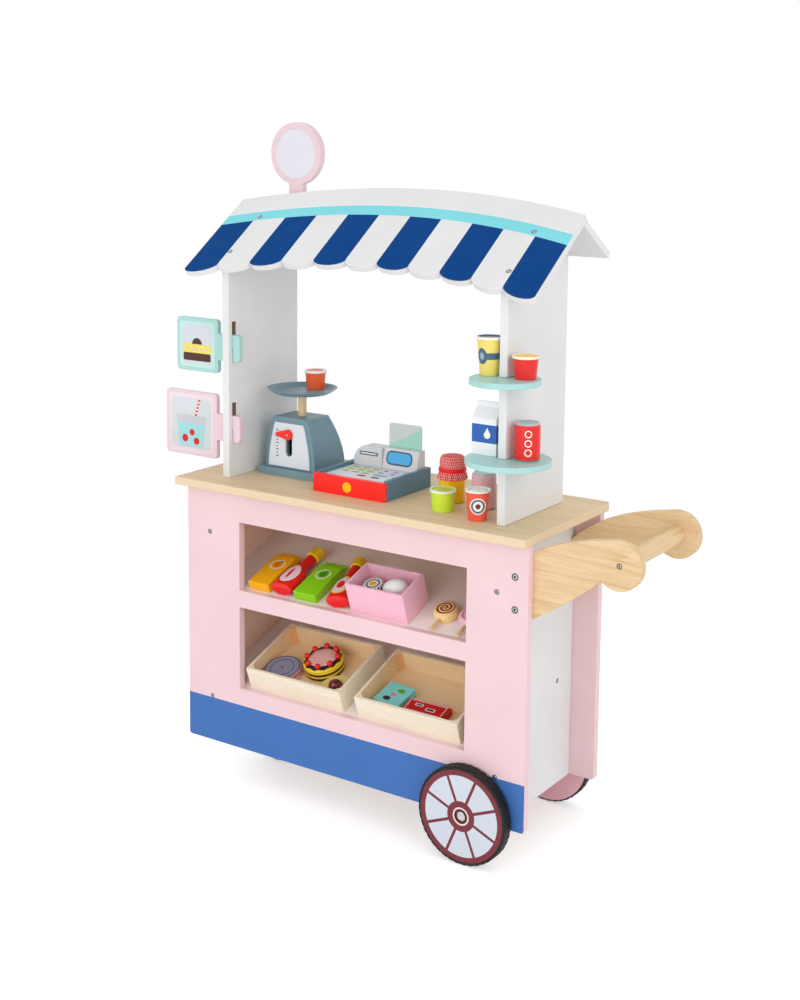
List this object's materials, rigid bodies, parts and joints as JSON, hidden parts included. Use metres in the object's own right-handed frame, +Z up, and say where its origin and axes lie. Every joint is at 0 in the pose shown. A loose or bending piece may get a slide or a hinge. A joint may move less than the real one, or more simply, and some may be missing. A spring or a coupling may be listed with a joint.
{
  "type": "toy shop cart",
  "caption": "Toy shop cart: cabinet with two sloping shelves, counter, striped awning, push handle, wheels, scale, cash register and wooden play food.",
  "frame": {"origin": "on the floor, under the centre of the whole cart's bounding box", "axes": "+X along the counter towards the push handle, +Y from the customer's side to the back, +Z up"},
  "size_m": [0.8184, 0.2641, 0.9996],
  "materials": {
    "pink_paint": "satin pink paint",
    "white_paint": "satin white paint",
    "light_wood": "pale wood grain, clear coat",
    "pine": "clear coat",
    "mint_paint": "satin mint paint",
    "rose_paint": "satin rose paint",
    "blue_paint": "satin blue and white stripes",
    "maroon_paint": "satin maroon and pale grey",
    "slate_paint": "satin slate paint",
    "pale_grey": "satin pale grey paint",
    "red_paint": "satin red paint",
    "yellow_paint": "satin yellow paint",
    "lime_paint": "satin lime paint",
    "green_paint": "satin green paint",
    "orange_paint": "satin orange paint",
    "coral_paint": "satin coral paint",
    "can_pink": "satin pink paint",
    "cream_yellow": "satin cream paint",
    "teal_paint": "satin teal paint",
    "lavender_grey": "satin grey paint",
    "black_rubber": "matt black",
    "grey_plastic": "matt",
    "zinc": "zinc plated"
  },
  "bodies": {
    "cart": {"front_panel": "pink_paint", "rear_panel": "pink_paint", "left_side_panel": "white_paint", "right_side_panel": "white_paint", "middle_shelf": "white_paint", "lower_shelf": "white_paint", "left_post": "white_paint", "right_post": "white_paint", "awning_rear": "white_paint", "sign_board": "white_paint", "caster_rail": "white_paint", "countertop": "light_wood", "handle_arm_front": "pine", "handle_arm_rear": "pine", "handle_bar": "pine", "upper_round_shelf": "mint_paint", "lower_round_shelf": "mint_paint", "awning_front": "blue_paint", "scale_body": "slate_paint", "register_body": "slate_paint", "scale_dial": "pale_grey", "register_keypad": "pale_grey", "register_printer": "pale_grey", "register_screen": "pale_grey", "axle": "zinc", "caster_plate": "zinc"},
    "front_wheel": {"front_wheel": "maroon_paint", "front_tyre": "black_rubber"},
    "rear_wheel": {"rear_wheel": "maroon_paint", "rear_tyre": "black_rubber"},
    "caster_fork": {"caster_fork": "zinc"},
    "caster_wheel": {"caster_wheel": "grey_plastic"},
    "scale_plunger": {"scale_plunger": "pine", "scale_tray": "slate_paint"},
    "mint_menu_board": {"mint_menu_board": "mint_paint"},
    "rose_menu_board": {"rose_menu_board": "rose_paint"},
    "register_drawer": {"register_drawer": "red_paint"},
    "member_card": {"member_card": "teal_paint"},
    "left_bin": {"left_bin": "light_wood"},
    "right_bin": {"right_bin": "light_wood"},
    "pink_tub": {"pink_tub": "rose_paint"},
    "orange_carton": {"orange_carton": "orange_paint"},
    "green_carton": {"green_carton": "green_paint"},
    "left_bottle": {"left_bottle": "red_paint"},
    "right_bottle": {"right_bottle": "red_paint"},
    "swirl_lollipop": {"swirl_lollipop": "orange_paint"},
    "layer_biscuit": {"layer_biscuit": "lavender_grey"},
    "cherry_cake": {"cherry_cake": "yellow_paint"},
    "ball_biscuit": {"ball_biscuit": "cream_yellow"},
    "sweets_box": {"sweets_box": "teal_paint"},
    "chocolate_box": {"chocolate_box": "red_paint"},
    "orange_cup": {"orange_cup": "coral_paint"},
    "jar": {"jar": "yellow_paint"},
    "lime_cup": {"lime_cup": "lime_paint"},
    "pink_can": {"pink_can": "can_pink"},
    "coffee_cup": {"coffee_cup": "cream_yellow"},
    "red_cup": {"red_cup": "red_paint"},
    "coral_cup": {"coral_cup": "coral_paint"},
    "milk_carton": {"milk_carton": "white_paint"},
    "red_can": {"red_can": "red_paint"}
  },
  "joints": [
    {"name": "front_wheel_spin", "type": "hinge", "parent": "cart", "child": "front_wheel", "pos_m": [0.16925, -0.1208, 0.0688], "axis": [0, 1, 0], "continuous": true},
    {"name": "rear_wheel_spin", "type": "hinge", "parent": "cart", "child": "rear_wheel", "pos_m": [0.16925, 0.1208, 0.0688], "axis": [0, 1, 0], "continuous": true},
    {"name": "caster_swivel", "type": "hinge", "parent": "cart", "child": "caster_fork", "pos_m": [-0.26145, 0, 0.0584], "axis": [0, 0, 1], "continuous": true},
    {"name": "caster_roll", "type": "hinge", "parent": "caster_fork", "child": "caster_wheel", "pos_m": [-0.24945, 0, 0.022], "axis": [0, 1, 0], "continuous": true},
    {"name": "scale_press", "type": "slide", "parent": "cart", "child": "scale_plunger", "axis": [0, 0, 1], "range_m": [-0.0295, 0], "stiffness_N_per_m": 100, "springref_m": 0.02},
    {"name": "mint_menu_board_lift", "type": "slide", "parent": "cart", "child": "mint_menu_board", "axis": [0, 0, 1], "range_m": [0, 0.0195]},
    {"name": "rose_menu_board_lift", "type": "slide", "parent": "cart", "child": "rose_menu_board", "axis": [0, 0, 1], "range_m": [0, 0.0195]},
    {"name": "register_drawer_pull", "type": "slide", "parent": "cart", "child": "register_drawer", "axis": [0, -1, 0], "range_m": [0, 0.07]},
    {"name": "member_card_lift", "type": "slide", "parent": "cart", "child": "member_card", "axis": [0, 0, 1], "range_m": [0, 0.05]},
    {"name": "left_bin_pull", "type": "slide", "parent": "cart", "child": "left_bin", "axis": [0, -1, 0], "range_m": [0, 0.15]},
    {"name": "right_bin_pull", "type": "slide", "parent": "cart", "child": "right_bin", "axis": [0, -1, 0], "range_m": [0, 0.15]},
    {"name": "pink_tub_pull", "type": "slide", "parent": "cart", "child": "pink_tub", "axis": [0, -1, 0], "range_m": [0, 0.14]},
    {"name": "orange_carton_pull", "type": "slide", "parent": "cart", "child": "orange_carton", "axis": [0, -1, 0], "range_m": [0, 0.14]},
    {"name": "green_carton_pull", "type": "slide", "parent": "cart", "child": "green_carton", "axis": [0, -1, 0], "range_m": [0, 0.14]},
    {"name": "left_bottle_pull", "type": "slide", "parent": "cart", "child": "left_bottle", "axis": [0, -1, 0], "range_m": [0, 0.14]},
    {"name": "right_bottle_pull", "type": "slide", "parent": "cart", "child": "right_bottle", "axis": [0, -1, 0], "range_m": [0, 0.14]},
    {"name": "swirl_lollipop_pull", "type": "slide", "parent": "cart", "child": "swirl_lollipop", "axis": [0, -1, 0], "range_m": [0, 0.14]},
    {"name": "layer_biscuit_lift", "type": "slide", "parent": "left_bin", "child": "layer_biscuit", "axis": [0, -0.342, 0.9397], "range_m": [0, 0.04]},
    {"name": "cherry_cake_lift", "type": "slide", "parent": "left_bin", "child": "cherry_cake", "axis": [0, -0.342, 0.9397], "range_m": [0, 0.04]},
    {"name": "ball_biscuit_lift", "type": "slide", "parent": "left_bin", "child": "ball_biscuit", "axis": [0, -0.342, 0.9397], "range_m": [0, 0.04]},
    {"name": "sweets_box_lift", "type": "slide", "parent": "right_bin", "child": "sweets_box", "axis": [0, -0.342, 0.9397], "range_m": [0, 0.04]},
    {"name": "chocolate_box_lift", "type": "slide", "parent": "right_bin", "child": "chocolate_box", "axis": [0, -0.342, 0.9397], "range_m": [0, 0.04]},
    {"name": "orange_cup_lift", "type": "slide", "parent": "scale_plunger", "child": "orange_cup", "axis": [0, 0, 1], "range_m": [0, 0.06]},
    {"name": "jar_lift", "type": "slide", "parent": "cart", "child": "jar", "axis": [0, 0, 1], "range_m": [0, 0.08]},
    {"name": "lime_cup_lift", "type": "slide", "parent": "cart", "child": "lime_cup", "axis": [0, 0, 1], "range_m": [0, 0.08]},
    {"name": "pink_can_lift", "type": "slide", "parent": "cart", "child": "pink_can", "axis": [0, 0, 1], "range_m": [0, 0.08]},
    {"name": "coffee_cup_lift", "type": "slide", "parent": "cart", "child": "coffee_cup", "axis": [0, 0, 1], "range_m": [0, 0.06]},
    {"name": "red_cup_lift", "type": "slide", "parent": "cart", "child": "red_cup", "axis": [0, 0, 1], "range_m": [0, 0.06]},
    {"name": "coral_cup_pull", "type": "slide", "parent": "cart", "child": "coral_cup", "axis": [0, -1, 0], "range_m": [0, 0.09]},
    {"name": "milk_carton_pull", "type": "slide", "parent": "cart", "child": "milk_carton", "axis": [0, -1, 0], "range_m": [0, 0.09]},
    {"name": "red_can_pull", "type": "slide", "parent": "cart", "child": "red_can", "axis": [0, -1, 0], "range_m": [0, 0.09]}
  ]
}
